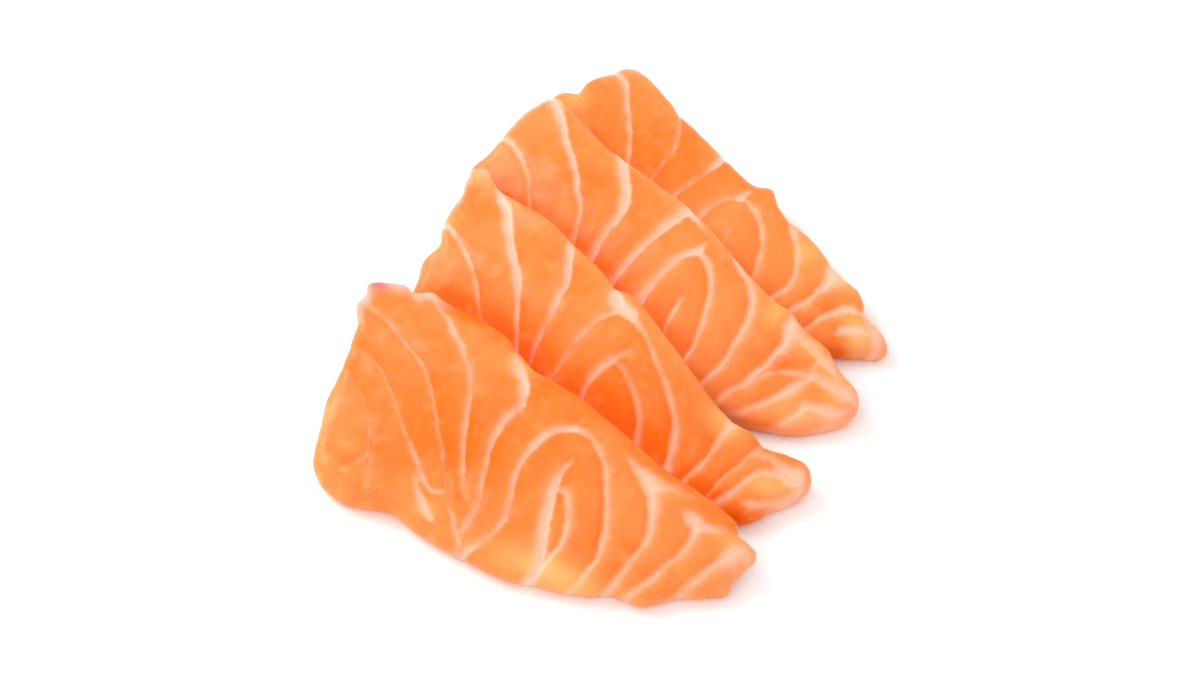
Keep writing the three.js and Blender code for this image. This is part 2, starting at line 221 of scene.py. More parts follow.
            [(9.8, 27.5, 0.9), (12.8, 24.7, 1.4), (15.8, 23, 1.3), (18.3, 21, 1.3),
             (19.7, 18, 1.3), (20, 14.5, 1.3), (20, 10.5, 1.1), (19.3, 7, 1.0), (18.3, 1, 0.8)],
            [(25, 22.8, 1.2), (25.8, 20.8, 2.2), (26.4, 18.4, 1.6), (26.1, 16.4, 1.4),
             (25.7, 14.4, 1.3), (25, 12.5, 1.3), (24.6, 10.4, 1.2), (23.6, 8.2, 1.0),
             (22.5, 3, 0.8)],
            [(26, 20.8, 1.8), (28.2, 20.8, 1.5), (30.3, 20.4, 1.3), (32, 20.2, 1.3),
             (34, 20.2, 1.4), (36, 19.8, 1.0)],
            [(32.1, 20.1, 0.8), (31.9, 19, 0.8), (32.2, 17.6, 0.9)],
            [(40.4, 18.3, 1.3), (38.5, 18.4, 1.8), (36.5, 18.1, 1.7), (34.5, 17.8, 1.3),
             (32.3, 17.4, 1.2), (30.8, 16.7, 1.0), (28.7, 15.5, 0.8), (27, 14, 0.7),
             (25.8, 12.2, 0.4)],
            [(32.5, 17, 1.3), (31.4, 15, 1.5), (30.6, 13, 1.4), (29.6, 11, 1.3), (28.7, 9.1, 1.2),
             (27.7, 7.7, 1.1), (26.6, 6.2, 1.0), (25.3, 5, 0.9)],
            [(40.2, 16.6, 0.9), (39.2, 15.6, 1.3), (38, 14.7, 1.6), (36.5, 14.1, 1.7),
             (35, 13.5, 1.5), (34, 12.9, 1.2)],
            [(34.3, 13.2, 1.1), (34, 11.6, 1.1), (33.5, 10, 1.2), (32.8, 8.3, 1.2),
             (31.8, 6.8, 1.1), (30.5, 5.5, 0.9)],
            [(35.6, 8.7, 0.7), (37.2, 10, 1.2), (38.4, 11.4, 1.2), (39.6, 13, 0.9)],
        ],
    },
    {
        "node": "slice_back", "x": -5.6, "y": 18.2, "turn": -4, "eye": 5,
        "crease": 0.3, "crease_reach": 0.8, "rind_end": -26, "rind_inset": 0, "back_edge_highlight": 0,
        "tones": [(-8, 16, 18, 6, 0.3), (-20, 22, 16, 8, 0.5), (-27, 30, 8, 3, -0.4),
                  (4, 22, 8, 3, -0.3), (24, 18, 8, 5, -0.4), (36, 13, 4, 5, -0.5),
                  (26, 14.5, 2, 2.5, 0.5), (31.8, 9.8, 2, 1.6, 0.9)],
        "veils": [(-35.5, 31, 3, 3, 0.3), (34.8, 12.2, 2.2, 2, 0.6), (17, 20.2, 2.6, 2.4, 0.5),
                  (-8.5, 27, 2, 1, 0.4), (-35.5, 19.5, 3, 3, 0.4), (3, 14, 2.5, 4, 0.2),
                  (24, 19.7, 3, 2, 0.5), (32.3, 14.5, 2.4, 1.6, 0.6), (8, 13, 10, 7, 0.12)],
        "wall_shades": [(32.5, 9, 3.5, 2.5, 1.1)],
        "back": [
            (38.3, 15.4), (36.2, 16.8), (33.5, 17.5), (30.9, 18.3), (29.8, 19.5), (27.5, 20.8),
            (24, 21.2), (18.2, 22.8), (14.2, 23.6), (9.2, 24.3), (6.5, 25.3), (4.3, 26.9),
            (3, 27.2), (0.8, 26), (-2.7, 26.1), (-8.7, 27.5), (-19.5, 29.5), (-22.8, 30.8),
            (-29.1, 32.5), (-33.1, 32.8), (-35, 31.4), (-36.4, 28.4), (-37.3, 25), (-37, 21.5),
        ],
        "broad_end": [(-39, 18.5), (-37.2, 11), (-33, 4)],
        "tip": [(27, 5.8), (32.2, 9), (35.5, 11.9), (37.8, 13.8)],
        "fat_lines": [
            [(-40.3, 23, 0.5), (-35.8, 21.2, 0.5), (-32.3, 19, 0.4), (-28, 15.8, 0.3),
             (-20.3, 9.5, 0.3)],
            [(-36.8, 29.5, 1.2), (-33, 29, 1.4), (-30.7, 27.9, 1.2), (-27.7, 24.8, 1.0),
             (-24.3, 21.8, 0.9), (-21, 18.5, 0.9), (-18.3, 15.3, 0.8), (-12, 8, 0.5)],
            [(-20.5, 31, 0.7), (-18.3, 27.9, 0.7), (-15.9, 25.2, 0.7), (-14.2, 22.2, 0.7),
             (-13.2, 18.7, 0.6), (-12.3, 15.5, 0.5), (-10.5, 9, 0.4)],
            [(-7.2, 27.5, 1.5), (-6.4, 24.5, 1.3), (-6.4, 22, 0.8), (-6.7, 19, 0.7),
             (-6.8, 16.5, 0.7), (-6.4, 13.5, 0.7), (-5, 7, 0.5)],
            [(1.6, 23.2, 1.0), (1.5, 21.3, 1.8)],
            [(2.8, 21.6, 0.9), (1, 20.8, 0.9), (-0.2, 18.8, 0.9), (-0.7, 15.8, 0.9),
             (-0.4, 12.5, 0.9), (0.5, 7, 0.5)],
            [(3, 21.6, 0.9), (5.2, 20.7, 1.0), (8.5, 18.4, 1.0), (11.2, 15.6, 1.0),
             (12.7, 13, 0.9), (13.9, 11, 0.9), (15.2, 5, 0.6)],
            [(4, 16.8, 0.3), (4.9, 14.8, 0.6), (5.9, 12.3, 0.4)],
            [(9.6, 24.5, 0.8), (12.9, 21.6, 1.3), (15.8, 19, 1.0), (18.3, 15.8, 1.0),
             (19.4, 12.7, 1.0), (19.4, 9.5, 1.0), (18.6, 3, 0.7)],
            [(21.2, 22.3, 1.5), (22.2, 20.6, 2.4), (23.3, 19, 2.4), (23.7, 17.4, 1.8),
             (23.5, 15.8, 1.4), (23.6, 13.7, 1.2), (23.4, 11.5, 1.2), (23, 9.5, 1.0),
             (22.5, 3, 0.9)],
            [(31.2, 16.8, 0.8), (30, 16.4, 1.3), (28.8, 15.5, 1.6), (28.3, 14.2, 1.4),
             (27.8, 12.9, 1.2), (27.3, 11.3, 1.1), (27, 10, 1.0), (26, 5, 0.8)],
            [(34.3, 14.6, 1.2), (33.2, 14.2, 1.7), (32.1, 13.4, 1.9), (31.4, 12.4, 1.5),
             (31, 11.2, 0.9)],
            [(31.2, 17.4, 0.7), (32.9, 16.5, 1.2), (34.8, 15.7, 1.5), (36.3, 14.7, 1.7),
             (37.6, 13.5, 1.5)],
        ],
    },
]

# The front edge seen from above: straight up to a place, then a parabola that is set back
# this far after a distance
FRONT_CURVES_FROM, FRONT_CURVES_OVER, FRONT_SET_BACK = 6 * MM, 34 * MM, 11.5 * MM
# Where a slice begins to thin toward its tip and its broad end, and over what distance, and
# how far behind its front edge it has its full thickness
TIP_THINS_FROM, TIP_THINS_OVER = 8 * MM, 32 * MM
BROAD_END_THINS_FROM, BROAD_END_THINS_OVER = -14 * MM, 24 * MM
FRONT_GROWS_OVER = 8 * MM
# A slice climbs onto the next one from before that one's front edge, and droops past its ends
AIR_BETWEEN = 0.4 * MM
CLIMB_BEFORE_FRONT, CLIMB_OVER = 14 * MM, 17.3 * MM
BROAD_END_AT, TIP_AT, DROOP_PAST_END = -39 * MM, 41 * MM, 13 * MM

# Waves, each a height and a wavelength: how a fat line wanders, how its width swells, how the
# cut edge runs in and out, and how the top face rolls
LINE_WANDER = ((0.16 * MM, 7 * MM), (0.04 * MM, 2 * MM))
LINE_SWELLING = ((0.25, 5.5 * MM), (0.12, 1.6 * MM))
EDGE_WAVES = ((0.14 * MM, 9 * MM), (0.07 * MM, 3.5 * MM))
FACE_WAVES = ((0.1 * MM, 17 * MM), (0.05 * MM, 6 * MM))

# A fat line's bell on the tip's side of the eye and on the other side: its half width in
# widths of the line, the width at which the line turns opaque, and how sharply it does
TIPWARD_BELL = (0.6, 1.35 * MM, 1.5)
OTHER_BELL = (0.47, 0.95 * MM, 2)
# How much wider the bell is beyond the line, its power and how much of that it loses there,
# and the tail that follows it
BELL_LEAN, BELL_POWER, BELL_SOFTENING = 0.25, 2.7, 0.7
TAIL_SHARE, TAIL_REACH = 0.25, 1.3 * MM
NARROWEST_LINE = 0.15 * MM
# How far the flesh takes to step at a line, and how far the paler flesh past it and the
# deeper flesh before it reach, partly the flesh's own tone and partly painted light and
# shade of the step
STEP_WIDTH, HALO_PAST, HALO_BEFORE = 0.3 * MM, 2.4 * MM, 1.2 * MM
# Fine streaks beside the lines
STREAK_SHARE, STREAK_WIDTH, STREAK_REACH = 0.2, 0.2 * MM, 3 * MM
# How far from a line the edge is drawn in, the groove reaches and the flake bends down
NOTCH_REACH, GROOVE_REACH, BEND_REACH = 0.9 * MM, 0.55 * MM, 1.6 * MM
# How far the flakes run along and across a slice for each millimetre of depth
SLANT_ALONG, SLANT_ACROSS = 0.35, 0.15
# Further than anything on a slice
FAR = 1.0

# The lights, each with its place, size and power, and the rest of the stage
LIGHTS = {"key": ((-0.75, -0.1, 0.6), 0.5, 5.0), "fill": ((-0.1, -0.8, 0.6), 0.6, 1.2)}
ROOM_STRENGTH = 0.95
FLOOR_REACH, FLOOR_BELOW = 2.0, 0.05 * MM
AIM_HEIGHT = 8 * MM
# In Blender's own millimetres
SENSOR_WIDTH = 36


def length(name, description, default, lowest, highest):
    """A length that a user would change, given in millimetres."""
    return bpy.props.FloatProperty(
        name=name, description=description, default=default * MM, min=lowest * MM,
        max=highest * MM, precision=5, unit="LENGTH")


def colour(name, description, hex_colour):
    """A colour that a user would change."""
    return bpy.props.FloatVectorProperty(
        name=name, description=description, default=linear(hex_colour), size=4, min=0,
        max=1, subtype="COLOR")


class SliceShape(bpy.types.PropertyGroup):
    """Sizes that all the slices share."""

    thickness_middle: length("Thickness", "Thickness in the middle of a slice", 6.2, 1, 20)
    thickness_broad_end: length(
        "Thickness at the broad end", "Thickness at the broad end", 5.4, 1, 20)
    thickness_tip: length("Thickness at the tip", "Thickness at the narrow end", 4.3, 1, 20)
    front_edge_share: bpy.props.FloatProperty(
        name="Front edge", description="Share of the thickness that the front edge keeps",
        default=0.72, min=0.2, max=1, subtype="FACTOR")
    rim_depth: length("Rim", "How far in the rounding of the cut edge reaches", 2.6, 0.5, 6)
    rim_squareness: bpy.props.FloatProperty(
        name="Rim squareness", description="Power of the superellipse that rounds the cut edge",
        default=2.6, min=1.2, max=8)
    flake_height: length("Flakes", "How far a flake bulges between two fat lines", 0.25, 0, 1)
    flake_step: length("Steps", "Half the step between two flakes", 0.12, 0, 1)
    groove_depth: length("Grooves", "How deep a fat line lies between its flakes", 0.1, 0, 1)
    edge_notch: length("Notches", "How far a fat line draws the edge in", 0.25, 0, 2)
    steps_around: bpy.props.IntProperty(
        name="Steps around", description="Points round the outline of a slice",
        default=700, min=40, max=1200)
    steps_across: bpy.props.IntProperty(
        name="Steps across", description="Points from the middle line to the rim",
        default=84, min=6, max=200)


class FleshLook(bpy.types.PropertyGroup):
    """Colours of raw salmon."""

    deep_flesh_and_shade: colour("Heart", "Flesh in the middle of a flake", "#F47006")
    crease: colour("Crease", "Flesh in the shade of the slice before it", "#F26808")
    flank: colour("Flank", "Flesh near the edges and the tip", "#FA924D")
    fat: colour("Fat", "Fat between two flakes", "#FFC4AA")
    veil: colour("Veil", "Milky flesh at the tips and the ends of the fat lines", "#FFC276")
    rind: colour("Rind", "Silvery rind left along the back edge", "#F8B09C")
    blood_line: colour("Dark meat", "The red strip under the skin side", "#E2555A")


class StageLook(bpy.types.PropertyGroup):
    """Floor and camera."""

    floor: colour("Floor", "Colour of the floor", "#FFFFFF")
    camera_azimuth: bpy.props.FloatProperty(
        name="Azimuth", description="Turn of the camera round the fan",
        default=np.radians(40), subtype="ANGLE")
    camera_elevation: bpy.props.FloatProperty(
        name="Elevation", description="Height of the camera over the table, as an angle",
        default=np.radians(50), subtype="ANGLE")
    camera_lens: bpy.props.FloatProperty(
        name="Lens", description="Focal length", default=70, min=10, max=300, unit="CAMERA")
    frame_width: length(
        "Frame width", "Width that the picture takes in at the fan", 187.5, 50, 1000)


def ease_ramp(x, rounding=0.3):
    """0 below 0, 1 above 1, straight between, with both corners rounded by parabolas."""
    x = np.clip(x, 0, 1)
    curvature = 1 / (2 * rounding * (1 - rounding))
    straight = (x - rounding / 2) / (1 - rounding)
    rising = np.where(x < rounding, x * x * curvature, straight)
    return np.where(x > 1 - rounding, 1 - (1 - x) ** 2 * curvature, rising)


def ripple(u, v, wavelength, seed):
    """Four crossed sine waves, each shorter and weaker than the last, from -1 to 1."""
    total = np.zeros_like(u)
    for k, (shorter, weight) in enumerate(((1.0, 0.4), (0.73, 0.28), (0.57, 0.2), (0.41, 0.12))):
        angle = 2.4 * k + 1.7 * seed
        along = (u * np.cos(angle) + v * np.sin(angle)) / (wavelength * shorter)
        total += weight * np.sin(2 * np.pi * along + 3.1 * k + 5.3 * seed)
    return total


def waves(u, v, sizes, seed, seed_step=1):
    """Ripples added up, one for each height and wavelength, their seeds a step apart."""
    return sum(height * ripple(u, v, wavelength, seed + k * seed_step)
               for k, (height, wavelength) in enumerate(sizes))


def catmull_rom(p0, p1, p2, p3, t):
    """The Catmull-Rom cubic between the middle two of four knots."""
    cubic = (2 * p1 + (p2 - p0) * t + (2 * p0 - 5 * p1 + 4 * p2 - p3) * t ** 2
             + (3 * p1 - p0 - 3 * p2 + p3) * t ** 3)
    return cubic / 2


def closed_curve(knots, steps):
    """A closed Catmull-Rom curve through the knots, with steps points to each span."""
    knots = np.asarray(knots, float)
    t = np.arange(len(knots) * steps) / steps
    i = t.astype(int)
    around = [knots[(i + k) % len(knots)] for k in (-1, 0, 1, 2)]
    return catmull_rom(*around, (t - i)[:, None])


def open_curve(knots, steps):
    """An open Catmull-Rom curve through the knots, whose end spans mirror the next knot."""
    knots = np.asarray(knots, float)
    knots = np.vstack([2 * knots[0] - knots[1], knots, 2 * knots[-1] - knots[-2]])
    t = np.linspace(0, len(knots) - 3, (len(knots) - 3) * steps + 1)
    i = np.minimum(t.astype(int), len(knots) - 4)
    return catmull_rom(*[knots[i + k] for k in range(4)], (t - i)[:, None])


def space_evenly(line, count):
    """Points at even distances along a line of short steps, without its last point."""
    steps = np.linalg.norm(np.diff(line, axis=0), axis=1)
    lengths = np.concatenate([[0], np.cumsum(steps)])
    places = lengths[-1] * np.arange(count) / count
    return np.stack([np.interp(places, lengths, line[:, k]) for k in (0, 1)], axis=-1)


def outline_of(piece, count):
    """The outline from above, in metres: half its points on the back edge, half in front."""
    steps = 24
    knots = piece["back"] + piece["broad_end"] + FRONT_EDGE + piece["tip"]
    curve = closed_curve(knots, steps) * MM
    split = (len(piece["back"]) - 1) * steps
    back = space_evenly(curve[:split + 1], count // 2)
    front = space_evenly(np.vstack([curve[split:], curve[:1]]), count // 2)
    return np.vstack([back, front])


def middle_line(count):
    """A place on the middle line for each outline point, by a half cosine from the tip to
    the broad end and back, so that points that face each other share theirs."""
    along = np.minimum(np.arange(count), count - np.arange(count)) / (count // 2)
    share = (1 - np.cos(np.pi * along)) / 2
    start, end = np.array(MIDDLE_AT_TIP) * MM, np.array(MIDDLE_AT_BROAD_END) * MM
    return start + (end - start) * share[:, None]


def to_table(piece, u, v):
    """From a slice's own length and width to the table's X and Y."""
    turn = np.radians(piece["turn"])
    x = piece["x"] * MM + u * np.cos(turn) - v * np.sin(turn)
    y = piece["y"] * MM + u * np.sin(turn) + v * np.cos(turn)
    return x, y


def to_slice(piece, x, y):
    """From the table's X and Y to a slice's own length and width."""
    turn = np.radians(piece["turn"])
    dx, dy = x - piece["x"] * MM, y - piece["y"] * MM
    return dx * np.cos(turn) + dy * np.sin(turn), dy * np.cos(turn) - dx * np.sin(turn)


def front_line(u):
    """The front edge's set-back: none up to a place, then a parabola."""
    return FRONT_SET_BACK * np.clip((u - FRONT_CURVES_FROM) / FRONT_CURVES_OVER, 0, 1) ** 2


def thickness_along(shape, u):
    """Full thickness in the middle, thinning to the tip and to the broad end."""
    tip = ease_ramp((u - TIP_THINS_FROM) / TIP_THINS_OVER)
    broad_end = ease_ramp((BROAD_END_THINS_FROM - u) / BROAD_END_THINS_OVER)
    middle = shape.thickness_middle
    return (middle + (shape.thickness_tip - middle) * tip
            + (shape.thickness_broad_end - middle) * broad_end)


def thickness(shape, u, v):
    """The thickness along, times a share that grows behind the front edge."""
    behind = ease_ramp((v - front_line(u)) / FRONT_GROWS_OVER)
    share = shape.front_edge_share + (1 - shape.front_edge_share) * behind
    return thickness_along(shape, u) * share


def lift(shape, piece, x, y):
    """What a slice adds to the height of all that lies over it: its thickness and some air,
    ramped up from before its front edge to behind it, and let down past its ends."""
    u, v = to_slice(piece, x, y)
    across = ease_ramp((v - front_line(u) + CLIMB_BEFORE_FRONT) / CLIMB_OVER)
    past_broad_end = ease_ramp((u - BROAD_END_AT + DROOP_PAST_END) / DROOP_PAST_END)
    past_tip = ease_ramp((TIP_AT + DROOP_PAST_END - u) / DROOP_PAST_END)
    return (thickness_along(shape, u) + AIR_BETWEEN) * across * past_broad_end * past_tip


def underside(shape, index, x, y):
    """Height of a slice's underside: the sum of what the slices behind it lift."""
    return sum((lift(shape, piece, x, y) for piece in SLICES[index + 1:]), np.zeros_like(x))


def fan_centre():
    """Middle of the box round all four outlines, on the table."""
    places = [to_table(piece, *outline_of(piece, 400).T) for piece in SLICES]
    x = np.concatenate([place[0] for place in places])
    y = np.concatenate([place[1] for place in places])
    return (x.min() + x.max()) / 2, (y.min() + y.max()) / 2


def reach_to_line(u, v, line):
    """Distance from each point to a fat line, the line's width at the nearest place, and how
    far the point lies ahead of the line: the length's share, from -1 to 1, of the direction
    from that place to the point, fading to 0 over the last 2 mm of the line. The line is cut
    into short straight steps, and each point keeps its nearest one. Points more than 7 mm
    outside the line's box are left out."""
    margin, end_fade = 7 * MM, 2 * MM
    curve = open_curve(line, 6) * MM
    near = np.full(u.shape, FAR)
    width = np.zeros(u.shape)
    ahead = np.zeros(u.shape)
    low, high = curve[:, :2].min(0) - margin, curve[:, :2].max(0) + margin
    close = (u > low[0]) & (u < high[0]) & (v > low[1]) & (v < high[1])
    if not close.any():
        return near, width, ahead
    pu, pv = u[close][:, None], v[close][:, None]
    du, dv, dw = np.diff(curve, axis=0).T
    u0, v0, w0 = curve[:-1].T
    step = np.hypot(du, dv)
    t = np.clip(((pu - u0) * du + (pv - v0) * dv) / step ** 2, 0, 1)
    apart = np.hypot(pu - u0 - t * du, pv - v0 - t * dv)
    best = apart.argmin(axis=1)
    rows = np.arange(len(best))
    t, apart = t[rows, best], apart[rows, best]
    near[close] = apart
    width[close] = w0[best] + t * dw[best]
    place = (np.cumsum(step) - step)[best] + t * step[best]
    fade = np.clip(np.minimum(place, step.sum() - place) / end_fade, 0, 1)
    ahead[close] = fade * (pu[:, 0] - u0[best] - t * du[best]) / np.maximum(apart, 1e-6)
    return near, width, ahead


def fat_fields(piece, u, v, seed):
    """Four fields over a slice: how fatty each point is, from 0 to 1, how far it is from the
    nearest fat line, and the flakes' step and its shading. A line counts as a bell of its width,
    crisp toward the eye that the flakes run round and with a soft tail beyond, broader and
    fainter on the tip's side of the eye, and lines add up as chances do. Beyond a line the
    flesh steps up and is paler, before it it is deeper, partly the flesh's own tone and partly
    painted light and shade of the step, with fine streaks beside the lines."""
    wander_u = waves(u, v, LINE_WANDER, seed)
    wander_v = waves(u, v, LINE_WANDER, seed + 2)
    swelling = 1 + waves(u, v, LINE_SWELLING, seed + 4)
    lean = np.ones(u.shape)
    nearest = np.full(u.shape, FAR)
    step = np.zeros(u.shape)
    step_shading_and_streaks = np.zeros(u.shape)
    for line in piece["fat_lines"]:
        near, width, ahead = reach_to_line(u + wander_u, v + wander_v, line)
        tipward = np.mean([knot[0] for knot in line]) > piece["eye"]
        beyond = ahead if tipward else -ahead
        half_width, opaque_at, sharpness = TIPWARD_BELL if tipward else OTHER_BELL
        width = np.maximum(width * swelling, NARROWEST_LINE)
        half = half_width * width * (1 + BELL_LEAN * beyond)
        bell = np.exp(-(near / half) ** (BELL_POWER - BELL_SOFTENING * beyond))
        tail = TAIL_SHARE * np.maximum(beyond, 0) * np.exp(-near / TAIL_REACH)
        opacity = 1 - np.exp(-(width / opaque_at) ** sharpness)
        lean *= 1 - opacity * (bell + (1 - bell) * tail)
        nearest = np.minimum(nearest, near)
        past = np.maximum(beyond, 0) * np.exp(-near / HALO_PAST)
        before = np.maximum(-beyond, 0) * np.exp(-near / HALO_BEFORE)
        step += np.tanh(near / STEP_WIDTH) * (past - before)
        # Paler past the line and deeper before it: partly the flesh's own tone, partly painted
        # light and shade of the step
        step_shading_and_streaks += past - before
    streaks = np.sin(nearest / STREAK_WIDTH + 3 * ripple(u, v, 6 * MM, seed + 6))
    step_shading_and_streaks += STREAK_SHARE * streaks * np.exp(-nearest / STREAK_REACH)
    return 1 - lean, nearest, step, step_shading_and_streaks


def ovals(spots, u, v):
    """Sum of soft ovals: a strength times exp(-((u - U) / a)^2 - ((v - V) / b)^2), in mm."""
    return sum((strength * np.exp(-((u / MM - at_u) / a) ** 2 - ((v / MM - at_v) / b) ** 2)
                for at_u, at_v, a, b, strength in spots), np.zeros(u.shape))


def crease_shade_field(index, u, x, y):
    """How much painted shade deepens a slice's flesh toward the slice before it: most up to 3 mm
    from that slice's back edge, which hides them from in front, then fading out, a third of it
    over 0.8 mm and the rest over the slice's own distance. Along the slice it comes in from
    35 mm before its zero, over 13 mm."""
    if index == 0:
        return np.zeros(x.shape)
    hidden, thin, edge_count = 3 * MM, 0.8 * MM, 150
    piece, before = SLICES[index], SLICES[index - 1]
    edge_x, edge_y = to_table(before, *outline_of(before, 2 * edge_count)[:edge_count].T)
    apart = np.full(x.shape, FAR)
    for at_x, at_y in zip(edge_x, edge_y):
        apart = np.minimum(apart, np.hypot(x - at_x, y - at_y))
    shown = np.maximum(apart - hidden, 0)
    wide = np.exp(-(shown / (piece["crease_reach"] * MM)) ** 1.5)
    shade = (2 * wide + np.exp(-(shown / thin) ** 1.5)) / 3
    return piece["crease"] * shade * ease_ramp((u + 35 * MM) / (13 * MM))


def shoulder_shade_field(index, u, from_edge):
    """The strip along the top of the back edge that turns away from the light, from 0 to 1,
    and how much painted shade deepens its flesh there. On the front slice it is 3.2 mm wide,
    begins where the rind thins out, and is deepest toward the broad end. On the second slice
    it is a thin strip along the tip. The other two slices have none."""
    if index == 0:
        strip = np.exp(-(from_edge / (3.2 * MM)) ** 4) * ease_ramp((u + 27 * MM) / (5 * MM))
        return strip, 0.8 + 0.9 * ease_ramp((-8 * MM - u) / (10 * MM))
    if index == 1:
        strip = np.exp(-((from_edge - 0.8 * MM) / (0.8 * MM)) ** 2)
        return strip * ease_ramp((u - 24 * MM) / (6 * MM)), 1.4
    return np.zeros(u.shape), 0.0


def stain_field(index, u, v):
    """Dark meat left on the front slice: a strip along its top corner and a spot where the
    fat lines meet at the front edge."""
    if index:
        return np.zeros(u.shape)
    corner, spot = (-34.9, 33.5, 1.8, 1.1, 0.8), (-1.3, -1.2, 1, 0.7, 0.35)
    return np.clip(ovals([corner, spot], u, v), 0, 1)


def rind_field(index, u, v, from_edge):
    """Rind: a strip about 1.5 mm wide on the back edge at the broad end, and a paler cap
    at the end of the tip."""
    piece = SLICES[index]
    width = 1.5 * MM * (1 + 0.3 * ripple(u, v, 4 * MM, index))
    on_back = (ease_ramp((piece["rind_end"] * MM - u) / (6 * MM))
               * ease_ramp((v - 24 * MM) / (5 * MM)))
    strip = on_back * np.exp(-((from_edge - piece["rind_inset"] * MM) / width) ** 2)
    cap = ease_ramp((u - 33 * MM) / (6 * MM)) * np.exp(-(from_edge / (3.5 * MM)) ** 2)
    return np.clip(0.8 * strip + 0.4 * cap, 0, 1)


def skin_rows(shape):
    """The rows of a slice's skin from the middle of the top face, round the rim and back
    along the underside: for each the share of the way to the rim's start, the inset from
    the edge in rim depths, and the height in shares of the thickness. The rim is a
    superellipse."""
    across, round_rim, below = shape.steps_across, 22, 34
    angle = np.linspace(0, np.pi, round_rim + 1)
    power = 2 / shape.rim_squareness
    side = np.abs(np.sin(angle)) ** power
    up = np.sign(np.cos(angle)) * np.abs(np.cos(angle)) ** power
    share = np.concatenate([np.arange(across) / across, np.ones(len(angle)),
                            np.arange(below - 1, -1, -1) / below])
    inset = np.concatenate([np.ones(across), 1 - side, np.ones(below)])
    height = np.concatenate([np.ones(across), (1 + up) / 2, np.zeros(below)])
    return share[:, None], inset[:, None], height[:, None]


def cut_edge(shape, index):
    """A slice's middle line and outline, the distance between them and the direction from
    the outline in. A fat line that meets the edge draws it in, and it is slightly ragged."""
    piece = SLICES[index]
    outline = outline_of(piece, shape.steps_around)
    middle = middle_line(shape.steps_around)
    toward = middle - outline
    reach = np.linalg.norm(toward, axis=1)
    inward = toward / reach[:, None]
    u, v = outline.T
    notch = shape.edge_notch * np.exp(-fat_fields(piece, u, v, index)[1] / NOTCH_REACH)
    drawn_in = notch + waves(u, v, EDGE_WAVES, index, 7)
    return middle, outline + inward * drawn_in[:, None], reach - drawn_in, inward


def slice_skin(shape, index):
    """Points and fields of one slice. A point goes from the middle line M to the outline O
    as M + share (O - M), less the rim's inset. Its height is the underside plus its share of
    the thickness. The top face also rolls, sinks along a fat line, bends down toward it and
    steps there. The fields slant a little with depth, as the flakes do."""
    piece = SLICES[index]
    middle, outline, reach, inward = cut_edge(shape, index)
    share, inset, height = skin_rows(shape)
    rim = shape.rim_depth
    way = np.where(share < 1, share * (1 - rim / reach), 1 - inset * rim / reach)
    place = middle + way[..., None] * (outline - middle)
    u, v = place[..., 0], place[..., 1]
    x, y = to_table(piece, u, v)
    deep = thickness(shape, u, v)
    depth = (1 - height) * deep
    fat, nearest, step, step_shading_and_streaks = fat_fields(
        piece, u + SLANT_ALONG * depth, v + SLANT_ACROSS * depth, index)
    groove = shape.groove_depth * np.exp(-(nearest / GROOVE_REACH) ** 2)
    bend = shape.flake_height * np.exp(-nearest / BEND_REACH)
    relief = waves(u, v, FACE_WAVES, index + 3, 8) - groove - bend + shape.flake_step * step
    z = underside(shape, index, x, y) + deep * height + relief * height ** 2
    centre = fan_centre()

    # The flesh deepens by the slice's own tones, which are partly painted shade, and by painted
    # shade down its wall and underside, in the crease and on the shoulder; a painted highlight
    # pales its back edge, and the fat shows less in the painted shade on the side wall and on
    # the front slice's shoulder
    from_edge = reach * (1 - way)
    on_back = np.clip((-inward[:, 1] - 0.3) / 0.4, 0, 1)
    # Painted shade on the side wall in the listed ovals near the tips, which also dims the fat
    # there
    painted_wall_shade = ovals(piece["wall_shades"], u, v) * ease_ramp((0.95 - height) / 0.4)
    strip, strength = shoulder_shade_field(index, u, from_edge)
    strip = strip * on_back * ease_ramp((height - 0.35) / 0.4)
    # A painted highlight along the top of the back edge, on the second and third slices
    back_edge_highlight = piece["back_edge_highlight"] * on_back * np.exp(-(from_edge / (4 * MM)) ** 2)
    deep_flesh_and_shade = (ovals(piece["tones"], u, v) + 0.3 * (1 - height) + painted_wall_shade
             + crease_shade_field(index, u, x, y) + strength * strip - back_edge_highlight)
    fat *= 1 - 0.6 * np.minimum(painted_wall_shade, 1)
    if index == 0:
        fat *= 1 - 0.6 * strip
    veil = 1 - np.prod([1 - ovals([oval], u, v) for oval in piece["veils"]], axis=0)
    return {
        "points": np.stack([x - centre[0], y - centre[1], z], axis=-1),
        "cut": np.stack([u, v, depth], axis=-1),
        "fat": fat, "step_shading_and_streaks": step_shading_and_streaks, "deep_flesh_and_shade": deep_flesh_and_shade, "veil": veil * height,
        "edge": np.exp(-(from_edge / (2.2 * MM)) ** 2),
        "rind": rind_field(index, u, v, from_edge),
        "stain": stain_field(index, u, v),
    }


def skin_faces(rows, count):
    """Four-sided faces between the rows, the first and last row folded shut: a point there
    is the same as the one that faces it across the middle line."""
    index = np.arange(rows * count).reshape(rows, count)
    facing = np.minimum(np.arange(count), count - np.arange(count))
    index[0] = index[0, facing]
    index[-1] = index[-1, facing]
    inner, outer = index[:-1], index[1:]
    inner_next, outer_next = np.roll(inner, -1, axis=1), np.roll(outer, -1, axis=1)
    return np.stack([inner, outer, outer_next, inner_next], axis=-1).reshape(-1, 4)


def mesh_from(name, points, faces):
    """A mesh object at the origin, without the points that no face uses."""
    used, faces = np.unique(faces, return_inverse=True)
    mesh = bpy.data.meshes.new(name)
    mesh.from_pydata(points.reshape(-1, 3)[used], [], faces.reshape(-1, 4).tolist())
    mesh.shade_smooth()
    obj = bpy.data.objects.new(name, mesh)
    bpy.context.scene.collection.objects.link(obj)
    return obj, used


